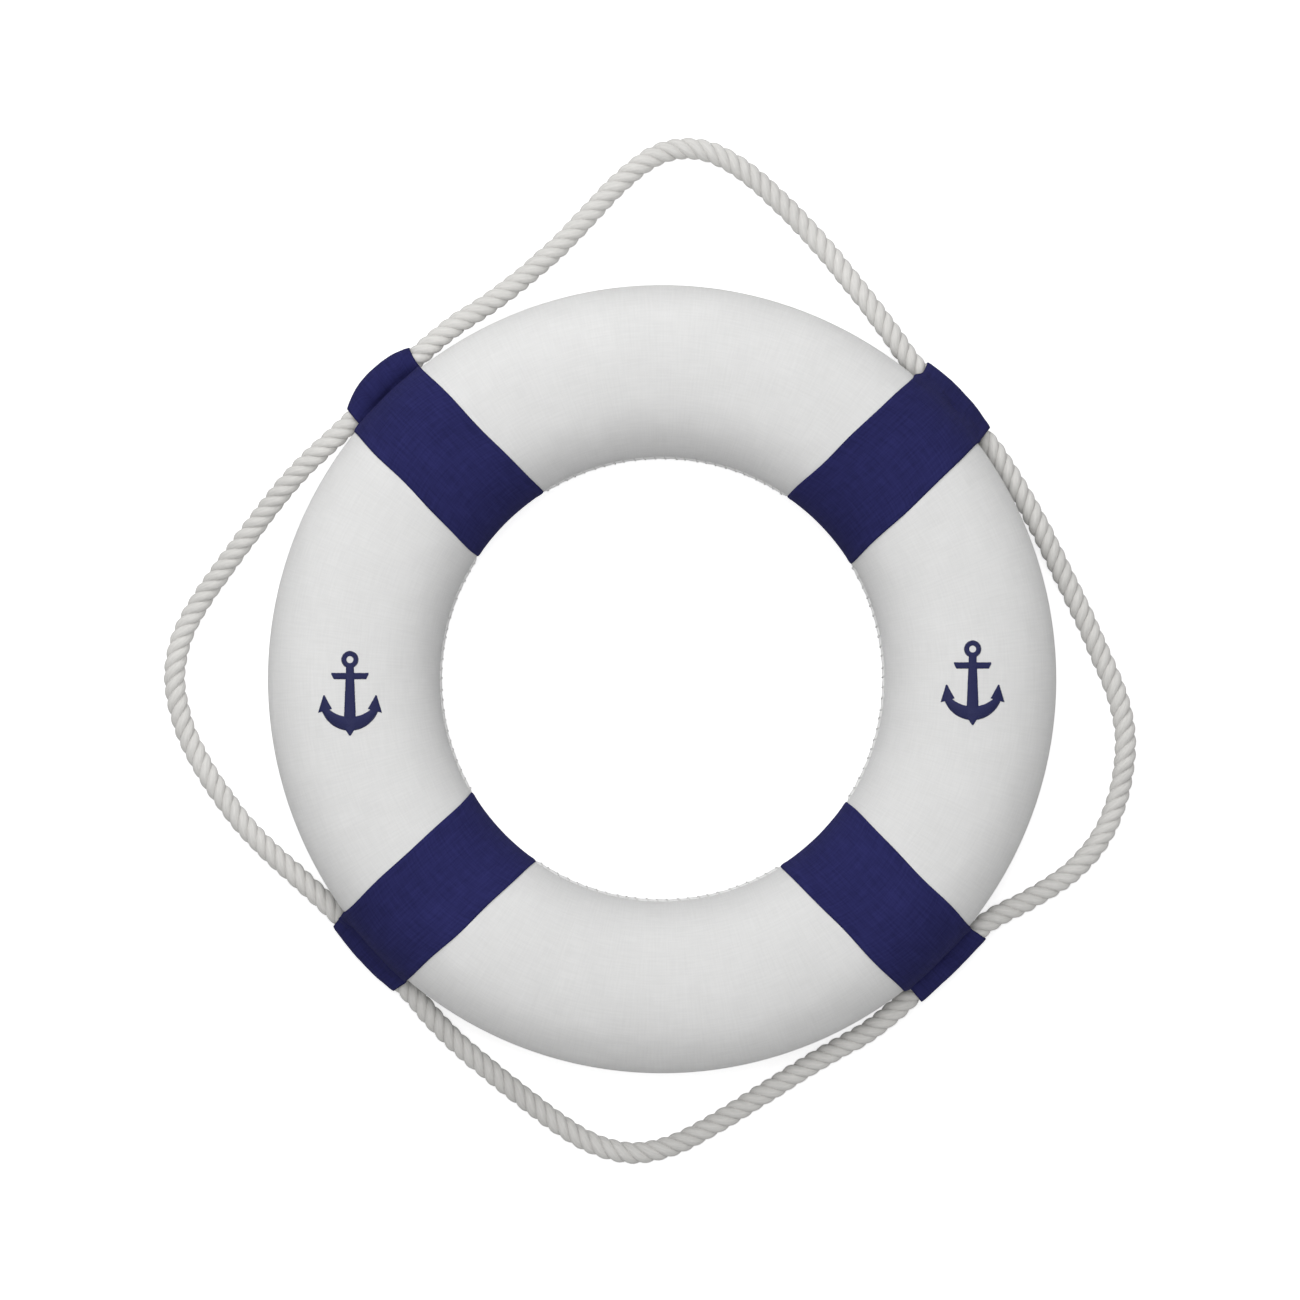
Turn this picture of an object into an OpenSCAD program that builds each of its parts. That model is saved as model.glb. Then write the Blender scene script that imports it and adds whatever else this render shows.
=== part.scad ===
// Ring lifebuoy with a foam core, a four-panel fabric cover, four wrapped bands
// and a grab line threaded through a sleeve at each band.
// It lies on its back: +Z is its front, z = 0 is the underside of its bands,
// and its axis is the Z axis. Millimetres.

/* [Ring] */
// Outside diameter of the covered ring
outer_d = 450; // [420:5:500]
// Width of the ring's section, from the hole to the outside
section_w = 98; // [90:2:110]
// Depth of the ring's section, from front to back
section_h = 80; // [70:2:88]
// Thickness of the cover's fabric
cover_t = 1; // [0.6:0.2:2]

/* [Bands] */
// Width of each band
band_w = 53; // [40:1:60]
// Thickness of the band's fabric
band_t = 0.8; // [0.6:0.1:1.2]
// Length of the sleeve that holds the rope
sleeve_l = 48; // [36:1:56]

/* [Grab line] */
// Diameter of the rope
rope_d = 12; // [10:0.5:12]
// Room around the rope inside its sleeves
sleeve_play = 0.2; // [0.2:0.05:0.4]

/* [Stitching] */
// Thickness of the sewing thread
thread_d = 0.7; // [0.5:0.1:0.8]
// Distance between the whip stitches of the cover's seam
whip_pitch = 6; // [5:0.5:10]
// Distance between the stitches that close a sleeve
sleeve_pitch = 5; // [4:0.5:8]

/* [Anchors] */
// Height of the embroidered anchors
anchor_h = 48; // [36:1:52]
// How far the embroidery stands up from the cover
anchor_t = 0.6; // [0.4:0.1:0.7]

/* [Hidden] */
$fn = 96;

fit = 0.2;                                  // room between two layers
cap_r = section_h / 2;                      // the section is a stadium: two round ends
flat_w = section_w - section_h;             // and this much flat between them
centre_r = (outer_d - section_w) / 2;       // radius of the section's middle
inner_r = centre_r - section_w / 2;
band_r = cap_r + fit + band_t;              // outside of a band's wrap
mid_z = band_r;                             // height of the ring's middle plane

pinch_w = 0.7;                              // fabric between the ring and the sleeve
pinch_t = 2;                                // both plies where they are sewn together
bore_r = rope_d / 2 + sleeve_play;
sleeve_r = bore_r + band_t;
band_edge_r = outer_d / 2 + fit + band_t;
rope_line_r = band_edge_r + pinch_w + sleeve_r;   // where a sleeve stands straight out
cap_x = centre_r + flat_w / 2;              // middle of the section's outer round end
reach = rope_line_r - cap_x;                // from there to the rope

bead_r = 1.5;                               // rolled edge of the cover's inner seam
anchor_gap = 0.1;

// The bands' places: the angle of each band's middle, anticlockwise from the right,
// and how far its sleeve leans from straight out towards the ring's back.
TOP_RIGHT = [43.5, 27];
TOP_LEFT = [134.5, 23];
BOTTOM_LEFT = [223, 29];
BOTTOM_RIGHT = [314.5, 25];

// The rope's way between the sleeves, beside a ring of loop_ring_d. It leaves each
// sleeve level and sags to the ground: x, y, and the height as a percentage, where
// 0 is lying on the ground and 100 is level with the nearer sleeve.
loop_ring_d = 450;
TOP_LOOP = [
    [128, 203, 91], [110, 226, 66], [91, 250, 37], [68, 274, 14], [46, 294, 3],
    [25, 305, 0], [3, 305, 0], [-17, 293, 0], [-38, 271, 3], [-57, 250, 14],
    [-76, 233, 37], [-97, 216, 66], [-119, 203, 91],
];
LEFT_LOOP = [
    [-208, 120, 91], [-225, 99, 63], [-241, 78, 31], [-258, 55, 9], [-273, 33, 0],
    [-281, 9, 0], [-279, -15, 0], [-270, -40, 3], [-255, -64, 14], [-238, -87, 43],
    [-216, -107, 80],
];
BOTTOM_LOOP = [
    [-126, -201, 91], [-107, -218, 66], [-86, -235, 37], [-63, -253, 14],
    [-42, -267, 3], [-18, -274, 0], [6, -269, 0], [28, -257, 3], [52, -242, 14],
    [74, -228, 37], [96, -214, 66], [118, -203, 91],
];
RIGHT_LOOP = [
    [206, -129, 86], [229, -116, 54], [247, -100, 26], [259, -79, 6], [265, -56, 0],
    [267, -33, 0], [262, -9, 0], [252, 13, 3], [243, 34, 17], [233, 54, 40],
    [223, 74, 69], [212, 96, 91],
];
rope_sides = 12;
rope_end_r = rope_d / 2 - 0.8;              // the rope where its whipping squeezes it
rope_end_gap = 1;                           // between its two butted ends
whipping_l = 14;
rope_rest_z = rope_d / 2;

function unit(v) = v / norm(v);
function outward(angle) = [cos(angle), sin(angle), 0];
function along(angle) = [-sin(angle), cos(angle), 0];
function sleeve_z(place) = mid_z - reach * sin(place[1]);
// A point of the rope's straight stretch through a sleeve, s along it from its middle.
function in_sleeve(place, s) =
    (cap_x + reach * cos(place[1])) * outward(place[0]) + s * along(place[0])
    + [0, 0, sleeve_z(place)];
function pass(place) =
    [for (s = [-36, -sleeve_l / 2, 0, sleeve_l / 2, 36]) in_sleeve(place, s)];
function loop(points, from, to) = [for (i = [0:len(points) - 1])
    let (p = points[i], top = sleeve_z(i < len(points) / 2 ? from : to)) [
        p[0] * outer_d / loop_ring_d,
        p[1] * outer_d / loop_ring_d,
        rope_rest_z + (top - rope_rest_z) * p[2] / 100]];

// The control points of a closed cubic B-spline, from the middle of one sleeve.
rope_start = 2;
ROUTE = concat(
    pass(BOTTOM_RIGHT), loop(RIGHT_LOOP, BOTTOM_RIGHT, TOP_RIGHT),
    pass(TOP_RIGHT), loop(TOP_LOOP, TOP_RIGHT, TOP_LEFT),
    pass(TOP_LEFT), loop(LEFT_LOOP, TOP_LEFT, BOTTOM_LEFT),
    pass(BOTTOM_LEFT), loop(BOTTOM_LOOP, BOTTOM_LEFT, BOTTOM_RIGHT));
function route(i) = ROUTE[(i + rope_start) % len(ROUTE)];
function knot(i) = (route(i + len(ROUTE) - 1) + 4 * route(i) + route(i + 1)) / 6;
function heading(i) = unit(route(i + 1) - route(i + len(ROUTE) - 1));

// One outline of the section, whose round ends have the radius r.
module section(r) {
    translate([centre_r, 0]) {
        translate([-flat_w / 2, 0]) circle(r);
        translate([flat_w / 2, 0]) circle(r);
        square([flat_w, 2 * r], center = true);
    }
}

// Moves what stands straight out from the ring's side to a band's leaning sleeve.
module at_sleeve(place) {
    translate([0, 0, mid_z]) rotate([0, 0, place[0]])
        translate([cap_x, 0, 0]) rotate([0, place[1], 0]) translate([-cap_x, 0, 0])
            children();
}

module section_shell(inside, outside) {
    difference() {
        section(outside);
        section(inside);
    }
}

module foam_core() {
    color("ghostwhite") translate([0, 0, mid_z])
        rotate_extrude() section(cap_r - cover_t - fit);
}

// A quarter of the cover, from one band's middle to the next, with the rolled
// seam bead along its inside where no band covers it.
module cover_panel(from, to) {
    joint = 0.1;
    under_band = asin(band_w / 2 / (inner_r - fit - band_t)) + 0.5;
    color("white") translate([0, 0, mid_z]) {
        rotate([0, 0, from + joint]) rotate_extrude(angle = to - from - 2 * joint)
            section_shell(cap_r - cover_t, cap_r);
        rotate([0, 0, from + under_band])
            rotate_extrude(angle = to - from - 2 * under_band)
                difference() {
                    translate([inner_r, 0]) circle(bead_r);
                    section(cap_r - cover_t / 2);
                }
    }
}

// Whip stitches around the seam bead, each one a slanted half hoop of thread.
module seam_thread(from, to) {
    slant = 18;
    hoop_r = bead_r + fit + thread_d / 2;
    room = asin((band_w / 2 + 4) / inner_r);
    span = to - from - 2 * room;
    count = floor(span * PI / 180 * inner_r / whip_pitch);
    color("gainsboro") translate([0, 0, mid_z])
        for (i = [0:count])
            rotate([0, 0, from + room + span * i / count])
                translate([inner_r - 0.3, 0, 0])
                    rotate([90 + slant, 0, 0])
                        rotate([0, 0, 90])
                            rotate_extrude(angle = 180, $fn = 24)
                                translate([hoop_r, 0]) circle(d = thread_d);
}

// A strip wrapped round the ring and over the rope, and sewn flat between them.
module band(place) {
    color([0.16, 0.17, 0.38]) difference() {
        union() {
            intersection() {
                translate([0, 0, mid_z]) rotate_extrude() section(band_r);
                translate([0, 0, mid_z]) rotate([0, 0, place[0]])
                    translate([centre_r, 0, 0])
                        cube([2 * section_w, band_w, 2 * section_h], center = true);
            }
            at_sleeve(place) translate([band_edge_r, 0, 0])
                cube([8, sleeve_l, pinch_t], center = true);
            at_sleeve(place) translate([rope_line_r, 0, 0]) rotate([90, 0, 0])
                cylinder(r = sleeve_r, h = sleeve_l, center = true);
        }
        translate([0, 0, mid_z]) rotate_extrude() section(cap_r + fit);
        at_sleeve(place) translate([rope_line_r, 0, 0]) rotate([90, 0, 0])
            cylinder(r = bore_r, h = sleeve_l + 2, center = true);
    }
}

// Two rows of running stitches, front and back, that close a band's sleeve.
module sleeve_stitching(place) {
    stitch_l = 3.2;
    count = floor((sleeve_l - stitch_l - 2) / sleeve_pitch);
    row_x = band_edge_r + pinch_w / 2 + 0.05;
    row_z = pinch_t / 2 + thread_d / 2 + 0.02;
    color([0.12, 0.13, 0.30]) at_sleeve(place)
        for (side = [-1, 1])
            for (i = [0:count])
                translate([row_x, (i - count / 2) * sleeve_pitch, side * row_z])
                    rotate([90, 0, 0])
                        cylinder(d = thread_d, h = stitch_l, center = true, $fn = 24);
}

// A tall block of a flat shape, which is drawn in hundredths of the anchor's height.
module anchor_block() {
    linear_extrude(16) scale(anchor_h / 100) children();
}

// A plain admiralty anchor, upright, about its own middle.
module anchor_blocks() {
    eye_y = 40;
    anchor_block() difference() {
        translate([0, eye_y]) circle(9.8);
        translate([0, eye_y]) circle(4.6);
    }
    anchor_block() polygon([[-22.5, 24], [22.5, 24], [19, 17], [-19, 17]]);
    anchor_block() polygon([[-4.3, 33], [4.3, 33], [7.2, -36], [-7.2, -36]]);
    anchor_block() polygon([[-8, -38], [8, -38], [0, -50]]);
    anchor_block() difference() {
        translate([0, -8.8]) circle(35.2);
        translate([0, 11.2]) circle(39.2);
        translate([-50, -20]) square([100, 70]);
    }
    for (side = [-1, 1])
        anchor_block() polygon([[side * 31, -2], [side * 21.5, -18], [side * 37.5, -22.5]]);
}

// The anchor cut from a thin layer that follows the front of the cover.
module anchor(x, y) {
    color([0.16, 0.17, 0.38]) translate([0, 0, mid_z])
        intersection() {
            rotate_extrude()
                section_shell(cap_r + anchor_gap, cap_r + anchor_gap + anchor_t);
            translate([x, y, cap_r - 8]) union() anchor_blocks();
        }
}

// The rope: rings of points round each knot of its spline, closed at both ends.
module grab_line() {
    last = len(ROUTE);
    knots = [for (i = [0:last])
        knot(i) + (i == 0 ? 1 : i == last ? -1 : 0) * rope_end_gap / 2 * heading(i)];
    points = [for (i = [0:last])
        let (
            ahead = heading(i),
            side = unit(cross(ahead, [0, 0, 1])),
            up = cross(side, ahead),
            r = i == 0 || i == last ? rope_end_r : rope_d / 2)
        for (k = [0:rope_sides - 1])
            knots[i] + r * (cos(360 * k / rope_sides) * side
                + sin(360 * k / rope_sides) * up)];
    function at(i, k) = i * rope_sides + k % rope_sides;
    walls = [for (i = [0:last - 1]) for (k = [0:rope_sides - 1])
        for (half = [0, 1])
            half == 0
                ? [at(i, k), at(i + 1, k), at(i, k + 1)]
                : [at(i, k + 1), at(i + 1, k), at(i + 1, k + 1)]];
    start = [for (k = [0:rope_sides - 1]) at(0, k)];
    end = [for (k = [rope_sides - 1:-1:0]) at(last, k)];
    color([0.82, 0.80, 0.77]) polyhedron(points, concat(walls, [start, end]));
}

// Twine round the two butted ends, inside the bottom right sleeve.
module rope_end_whipping() {
    color("gainsboro") at_sleeve(BOTTOM_RIGHT)
        translate([rope_line_r, 0, 0]) rotate([90, 0, 0])
            difference() {
                cylinder(r = bore_r - 0.1, h = whipping_l, center = true);
                cylinder(r = rope_d / 2 - 0.4, h = whipping_l + 2, center = true);
            }
}

foam_core();
cover_panel(TOP_RIGHT[0], TOP_LEFT[0]);  // cover_panel_top
cover_panel(TOP_LEFT[0], BOTTOM_LEFT[0]);  // cover_panel_left
cover_panel(BOTTOM_LEFT[0], BOTTOM_RIGHT[0]);  // cover_panel_bottom
cover_panel(BOTTOM_RIGHT[0], TOP_RIGHT[0] + 360);  // cover_panel_right
seam_thread(TOP_RIGHT[0], TOP_LEFT[0]);  // seam_thread_top
seam_thread(TOP_LEFT[0], BOTTOM_LEFT[0]);  // seam_thread_left
seam_thread(BOTTOM_LEFT[0], BOTTOM_RIGHT[0]);  // seam_thread_bottom
seam_thread(BOTTOM_RIGHT[0], TOP_RIGHT[0] + 360);  // seam_thread_right
band(TOP_RIGHT);  // band_top_right
band(TOP_LEFT);  // band_top_left
band(BOTTOM_LEFT);  // band_bottom_left
band(BOTTOM_RIGHT);  // band_bottom_right
sleeve_stitching(TOP_RIGHT);  // sleeve_stitching_top_right
sleeve_stitching(TOP_LEFT);  // sleeve_stitching_top_left
sleeve_stitching(BOTTOM_LEFT);  // sleeve_stitching_bottom_left
sleeve_stitching(BOTTOM_RIGHT);  // sleeve_stitching_bottom_right
anchor(-centre_r - 1, -8);  // anchor_left
anchor(centre_r, -2);  // anchor_right
grab_line();
rope_end_whipping();
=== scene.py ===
"""The looks of the ring lifebuoy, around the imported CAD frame. Metres, Z up."""

import math

import bpy
import numpy as np
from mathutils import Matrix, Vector
from mathutils.bvhtree import BVHTree


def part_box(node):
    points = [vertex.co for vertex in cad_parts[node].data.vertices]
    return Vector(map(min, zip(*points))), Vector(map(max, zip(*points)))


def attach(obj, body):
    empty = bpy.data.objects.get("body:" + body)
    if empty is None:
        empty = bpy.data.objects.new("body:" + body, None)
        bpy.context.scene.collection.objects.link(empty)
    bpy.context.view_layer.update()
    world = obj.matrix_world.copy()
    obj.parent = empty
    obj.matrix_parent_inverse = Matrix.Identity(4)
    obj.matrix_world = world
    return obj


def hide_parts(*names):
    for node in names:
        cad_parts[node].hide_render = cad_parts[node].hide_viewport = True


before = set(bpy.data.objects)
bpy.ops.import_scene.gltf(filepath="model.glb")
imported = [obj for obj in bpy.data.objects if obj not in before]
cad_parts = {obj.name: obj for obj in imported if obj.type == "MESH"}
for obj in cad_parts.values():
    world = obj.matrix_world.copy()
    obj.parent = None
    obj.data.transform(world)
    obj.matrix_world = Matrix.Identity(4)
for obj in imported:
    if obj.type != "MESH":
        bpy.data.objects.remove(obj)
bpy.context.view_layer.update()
MM = 0.001

# ---- The ring, from the frame ------------------------------------------------------
COVER_LOW, COVER_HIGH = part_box("cover_panel_top")
OUTER_R = COVER_HIGH[1]
CAP_R = (COVER_HIGH[2] - COVER_LOW[2]) / 2
MID_Z = (COVER_HIGH[2] + COVER_LOW[2]) / 2
SECTION_W = 98 * MM
HALF_FLAT = SECTION_W / 2 - CAP_R
CENTRE_R = OUTER_R - SECTION_W / 2
INNER_R = OUTER_R - SECTION_W
PERIMETER = 2 * math.pi * CAP_R + 4 * HALF_FLAT
COVER_T = 0.8 * MM

# Each band's angle, and how far its sleeve leans towards the ring's back, in degrees.
TOP_RIGHT, TOP_LEFT, BOTTOM_LEFT, BOTTOM_RIGHT = (43.5, 27), (134.5, 23), (223, 29), (314.5, 25)
PLACES = (TOP_RIGHT, TOP_LEFT, BOTTOM_LEFT, BOTTOM_RIGHT)
BAND_W = 53 * MM
BAND_T = 0.8 * MM
BAND_R = CAP_R + 1.0 * MM  # a band's outside, round the section's two round ends
SLEEVE_R = 7.0 * MM
CAP_X = CENTRE_R + HALF_FLAT
REACH = OUTER_R + 8.7 * MM - CAP_X  # from the middle of the outer round end to the rope

# ---- The rope ------------------------------------------------------------------------
ROPE_D = 12 * MM
ROPE_STEP = 1.05 * MM  # between two points of its line
END_GAP = 0.5 * MM  # half of the gap between its two butted ends
FLOOR_GAP = 0.3 * MM  # below its plain thickness, since it swells between the sleeves
LAY = 23 * MM  # one turn of a strand
STRAND_R, STRAND_OFFSET = 3.03 * MM, 2.97 * MM  # the strands press flat against each other
STRAND_SIDES = 18
YARN_TURN = -0.25 / MM  # the yarns are twisted against the lay, in radians for each metre

# ---- The seam along the hole -----------------------------------------------------------
BEAD_R = 1.5 * MM
SEAM_X = -SECTION_W / 2 + 0.1 * MM
STITCH_PITCH = 6 * MM
STITCH_R = 0.36 * MM

# ---- How finely the meshes are cut -----------------------------------------------------
PANEL_ROWS, PANEL_COLUMNS = 110, 101
WRAP_ROWS, SLEEVE_ROWS, BAND_COLUMNS = 190, 72, 67
BEAD_ROWS, BEAD_SIDES = 420, 16
SPLINE_STEPS = 24

# ---- The rope's route, in millimetres, as part.scad has it --------------------------
# x, y, and the height in percent: 0 lies on the ground, 100 is level with the nearer sleeve.
TOP_LOOP = [
    (128, 203, 91), (110, 226, 66), (91, 250, 37), (68, 274, 14), (46, 294, 3),
    (25, 305, 0), (3, 305, 0), (-17, 293, 0), (-38, 271, 3), (-57, 250, 14),
    (-76, 233, 37), (-97, 216, 66), (-119, 203, 91),
]
LEFT_LOOP = [
    (-208, 120, 91), (-225, 99, 63), (-241, 78, 31), (-258, 55, 9), (-273, 33, 0),
    (-281, 9, 0), (-279, -15, 0), (-270, -40, 3), (-255, -64, 14), (-238, -87, 43),
    (-216, -107, 80),
]
BOTTOM_LOOP = [
    (-126, -201, 91), (-107, -218, 66), (-86, -235, 37), (-63, -253, 14),
    (-42, -267, 3), (-18, -274, 0), (6, -269, 0), (28, -257, 3), (52, -242, 14),
    (74, -228, 37), (96, -214, 66), (118, -203, 91),
]
RIGHT_LOOP = [
    (206, -129, 86), (229, -116, 54), (247, -100, 26), (259, -79, 6), (265, -56, 0),
    (267, -33, 0), (262, -9, 0), (252, 13, 3), (243, 34, 17), (233, 54, 40),
    (223, 74, 69), (212, 96, 91),
]


def outward(angle):
    return np.array([math.cos(math.radians(angle)), math.sin(math.radians(angle)), 0])


def along(angle):
    return np.array([-math.sin(math.radians(angle)), math.cos(math.radians(angle)), 0])


def sleeve_middle(place):
    """The rope's place in the middle of a sleeve."""
    lean = math.radians(place[1])
    up = np.array([0, 0, MID_Z - REACH * math.sin(lean)])
    return (CAP_X + REACH * math.cos(lean)) * outward(place[0]) + up


def sleeve_pass(place):
    """The route's straight stretch through one sleeve."""
    return [sleeve_middle(place) + s * MM * along(place[0]) for s in (-36, -24, 0, 24, 36)]


def loop_points(points, start, stop):
    """A loop's part of the route, between the sleeves at two places."""
    rest, out = ROPE_D / 2, []
    for i, (x, y, share) in enumerate(points):
        top = sleeve_middle(start if i < len(points) / 2 else stop)[2]
        out.append(np.array([x * MM, y * MM, rest + (top - rest) * share / 100]))
    return out


def rope_route():
    """Points about 1 mm apart along the closed B-spline, from one rope end to the other, and
    how far along it each one lies."""
    control = np.array(
        sleeve_pass(BOTTOM_RIGHT)[2:]
        + loop_points(RIGHT_LOOP, BOTTOM_RIGHT, TOP_RIGHT)
        + sleeve_pass(TOP_RIGHT)
        + loop_points(TOP_LOOP, TOP_RIGHT, TOP_LEFT)
        + sleeve_pass(TOP_LEFT)
        + loop_points(LEFT_LOOP, TOP_LEFT, BOTTOM_LEFT)
        + sleeve_pass(BOTTOM_LEFT)
        + loop_points(BOTTOM_LOOP, BOTTOM_LEFT, BOTTOM_RIGHT)
        + sleeve_pass(BOTTOM_RIGHT)[:2]
    )
    fine = []
    u = np.linspace(0, 1, SPLINE_STEPS, endpoint=False)[:, None]
    for i in range(len(control)):
        p0, p1, p2, p3 = (control[(i + k - 1) % len(control)] for k in range(4))
        fine.append(
            (
                (1 - u) ** 3 * p0
                + (3 * u**3 - 6 * u**2 + 4) * p1
                + (-3 * u**3 + 3 * u**2 + 3 * u + 1) * p2
                + u**3 * p3
            )
            / 6
        )
    fine = np.concatenate(fine + [fine[0][:1]])
    at = np.concatenate([[0], np.cumsum(np.linalg.norm(np.diff(fine, axis=0), axis=1))])
    count = round((at[-1] - 2 * END_GAP) / ROPE_STEP) + 1
    spots = np.linspace(END_GAP, at[-1] - END_GAP, count)
    return np.stack([np.interp(spots, at, fine[:, k]) for k in range(3)], axis=1), spots


# ---- Mesh helpers --------------------------------------------------------------------
def mesh_object(name, points, faces, uvs=None, smooth=True):
    """One object from points and faces; uvs holds one pair for each face's corner."""
    mesh = bpy.data.meshes.new(name)
    mesh.from_pydata([tuple(p) for p in points], [], [tuple(f) for f in faces])
    if uvs is not None:
        layer = mesh.uv_layers.new(name="cloth")
        layer.data.foreach_set("uv", np.asarray(uvs, np.float32).ravel())
    mesh.polygons.foreach_set("use_smooth", [smooth] * len(mesh.polygons))
    mesh.validate()
    mesh.update()
    obj = bpy.data.objects.new(name, mesh)
    bpy.context.scene.collection.objects.link(obj)
    return obj


def grid_faces(rows, columns, wrap=False):
    """The quads of a grid of points, row by row; wrap joins the last column to the first."""
    r = np.arange(rows - 1)[:, None]
    c = np.arange(columns if wrap else columns - 1)[None, :]
    n = (c + 1) % columns
    quads = [r * columns + c, r * columns + n, (r + 1) * columns + n, (r + 1) * columns + c]
    return np.stack(np.broadcast_arrays(*quads), -1).reshape(-1, 4)


def grid_uvs(u, v, wrap_u=None):
    """Corner UVs of grid_faces, from one u for each column and one v for each row."""
    u_next = np.append(u[1:], wrap_u) if wrap_u is not None else u[1:]
    u_here = u if wrap_u is not None else u[:-1]
    rows, columns = len(v) - 1, len(u_here)
    out = np.zeros((rows, columns, 4, 2))
    out[:, :, 0, 0] = out[:, :, 3, 0] = u_here
    out[:, :, 1, 0] = out[:, :, 2, 0] = u_next
    out[:, :, 0, 1] = out[:, :, 1, 1] = np.asarray(v[:-1])[:, None]
    out[:, :, 2, 1] = out[:, :, 3, 1] = np.asarray(v[1:])[:, None]
    return out.reshape(-1, 2)


def solidify(obj, thickness):
    """Gives the mesh a cloth's thickness, on its inside."""
    modifier = obj.modifiers.new("cloth_thickness", "SOLIDIFY")
    modifier.thickness = thickness
    modifier.offset = -1
    modifier.use_even_offset = False


def unit(v):
    return v / np.maximum(np.linalg.norm(v, axis=-1, keepdims=True), 1e-12)


def tube(line, radius, sides):
    """Points and faces of one closed round tube along a line."""
    line = np.asarray(line, float)
    ahead = unit(np.gradient(line, axis=0))
    reference = np.array([0.13, 0.21, 0.97])  # a direction that none of the lines takes
    side = unit(np.cross(ahead, reference))
    up = np.cross(side, ahead)
    turn = np.linspace(0, 2 * math.pi, sides, endpoint=False)
    r = np.broadcast_to(np.asarray(radius, float), (len(line),))[:, None, None]
    ring = np.cos(turn)[None, :, None] * side[:, None] + np.sin(turn)[None, :, None] * up[:, None]
    points = (line[:, None] + r * ring).reshape(-1, 3)
    faces = [tuple(f[::-1]) for f in grid_faces(len(line), sides, wrap=True)]
    last = (len(line) - 1) * sides
    faces.append(tuple(range(sides)))
    faces.append(tuple(last + k for k in reversed(range(sides))))
    return points, faces


def join_tubes(name, lines, radius, sides):
    """One object that holds a tube along each line."""
    points, faces, n = [], [], 0
    for line in lines:
        p, f = tube(line, radius, sides)
        points.append(p)
        faces += [tuple(i + n for i in face) for face in f]
        n += len(p)
    return mesh_object(name, np.concatenate(points), faces)


def waves(seed, at, lengths, heights):
    """Sine waves along at, with the given lengths and heights. Each starts at its own place."""
    rng = np.random.default_rng(seed)
    return [
        h * np.sin(2 * math.pi * at / w + rng.uniform(0, 2 * math.pi))
        for w, h in zip(lengths, heights, strict=True)
    ]


# ---- The ring's surface ----------------------------------------------------------------
def section(share):
    """The section's middle line and outward angle, going once round from the inner seam
    over the front. share is from 0 to 1 of the perimeter."""
    s = np.asarray(share) * PERIMETER
    quarter, flat = math.pi * CAP_R / 2, 2 * HALF_FLAT
    ends = np.cumsum([quarter, flat, 2 * quarter, flat, quarter])
    x = np.select(
        [s <= ends[0], s <= ends[1], s <= ends[2], s <= ends[3]],
        [-HALF_FLAT, -HALF_FLAT + (s - ends[0]), HALF_FLAT, HALF_FLAT - (s - ends[2])],
        -HALF_FLAT,
    )
    turn = np.select(
        [s <= ends[0], s <= ends[1], s <= ends[2], s <= ends[3]],
        [math.pi - s / CAP_R, math.pi / 2, math.pi / 2 - (s - ends[1]) / CAP_R, -math.pi / 2],
        -math.pi / 2 - (s - ends[3]) / CAP_R,
    )
    return x, turn


def on_ring(angle, x, z):
    """Points round the ring at an angle in radians, x outwards from the section's middle and
    z above it."""
    r, angle, z = np.broadcast_arrays(CENTRE_R + x, angle, MID_Z + z)
    return np.stack([r * np.cos(angle), r * np.sin(angle), z], -1)


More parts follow.
